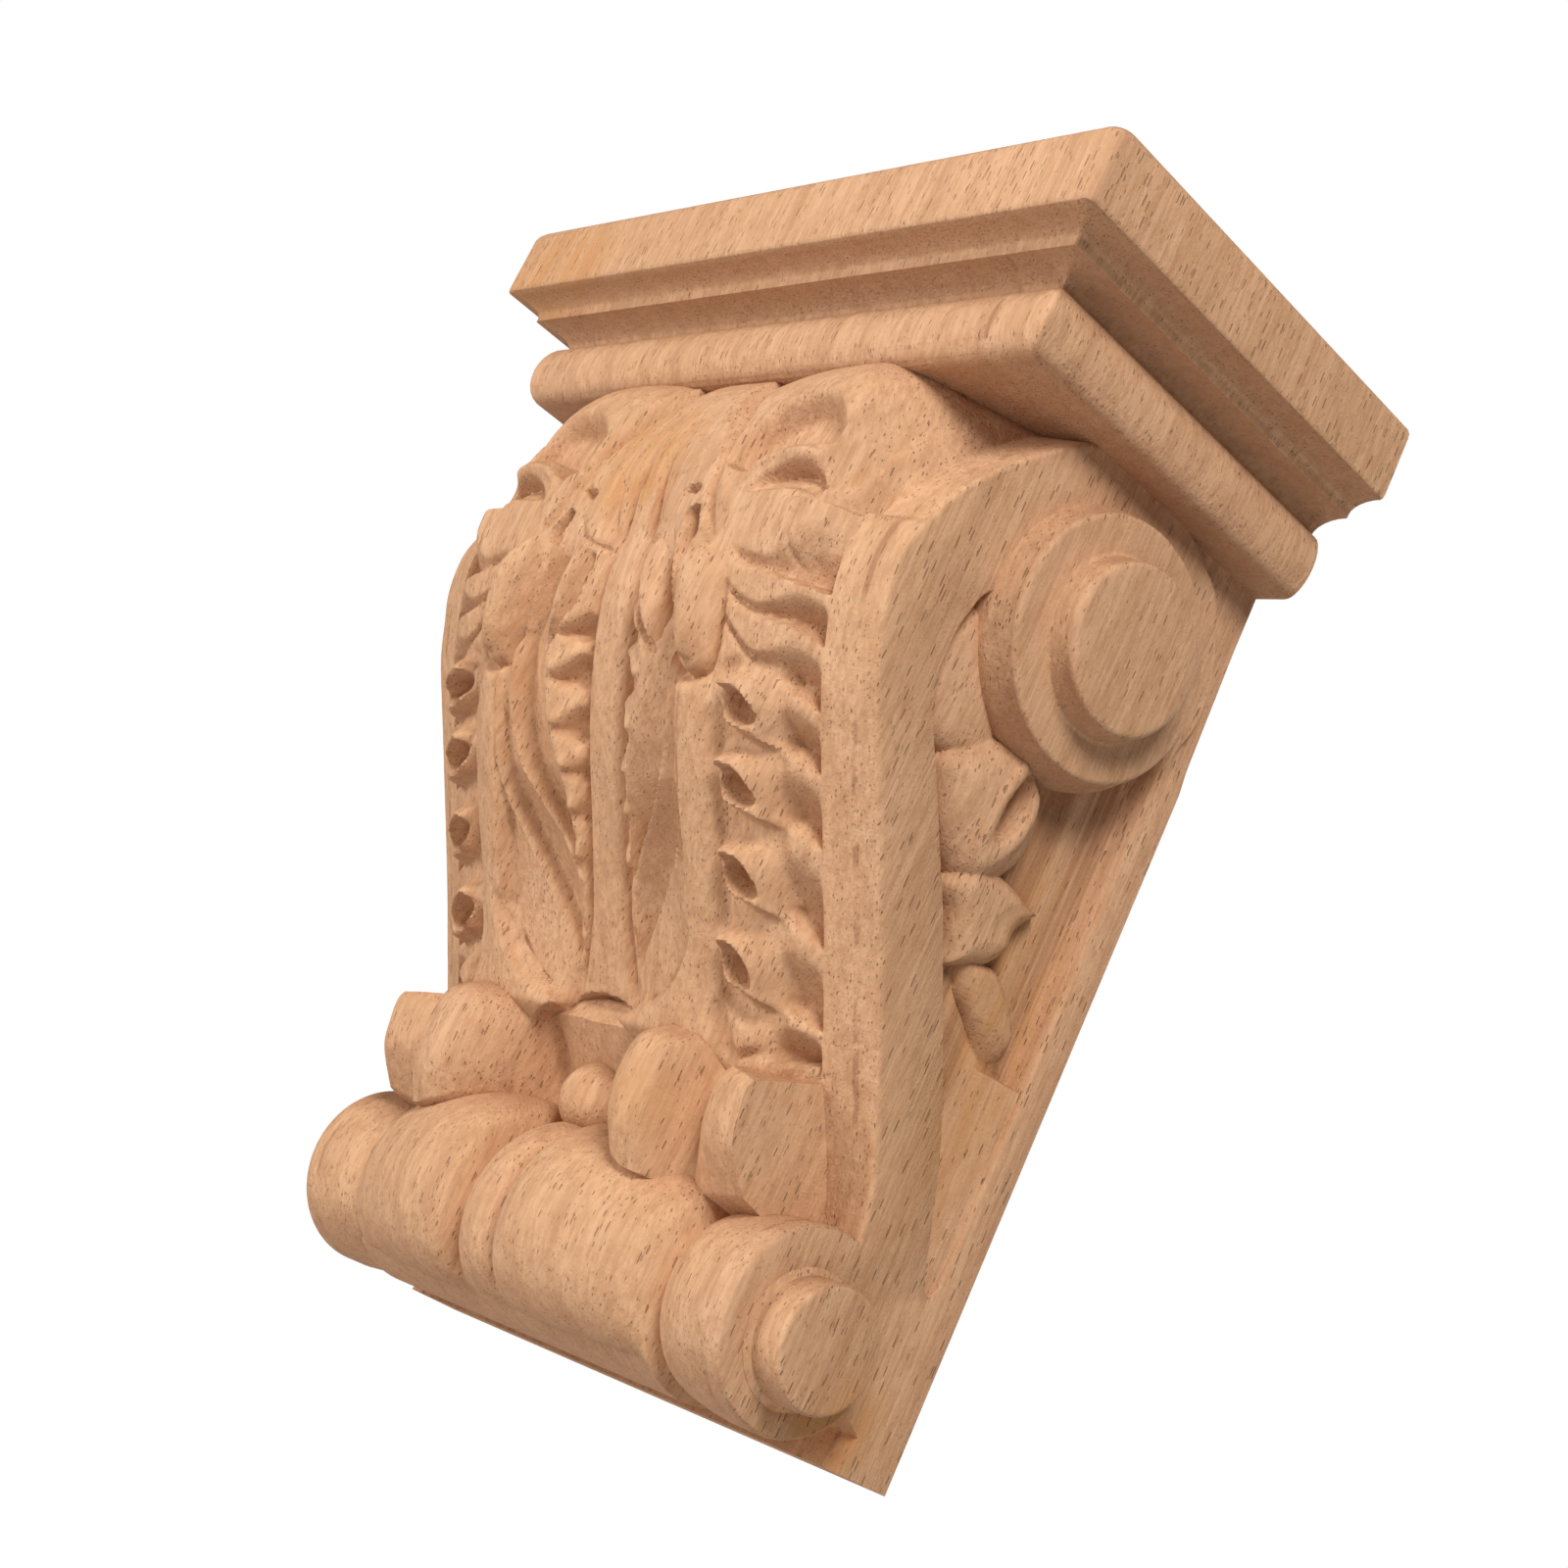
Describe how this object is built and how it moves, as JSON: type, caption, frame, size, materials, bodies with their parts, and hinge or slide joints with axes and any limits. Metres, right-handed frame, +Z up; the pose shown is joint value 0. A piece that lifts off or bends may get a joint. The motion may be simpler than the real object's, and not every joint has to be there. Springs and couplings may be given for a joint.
{
  "type": "carved wood corbel",
  "caption": "Small carved hardwood corbel with a moulded cap, scrolled sides, an acanthus leaf front and a turned roll at its foot, fixed to a wall by its flat back.",
  "frame": {"origin": "middle of the flat back, on the wall plane", "axes": "+Z up, the carved front faces -Y, the wall is the plane y = 0 with +Y into the wall, +X to the right seen from the front"},
  "size_m": [0.123, 0.0635, 0.15],
  "materials": {
    "bare_wood": "sanded, unfinished"
  },
  "bodies": {
    "root": {"carved_corbel": "bare_wood"}
  },
  "joints": []
}
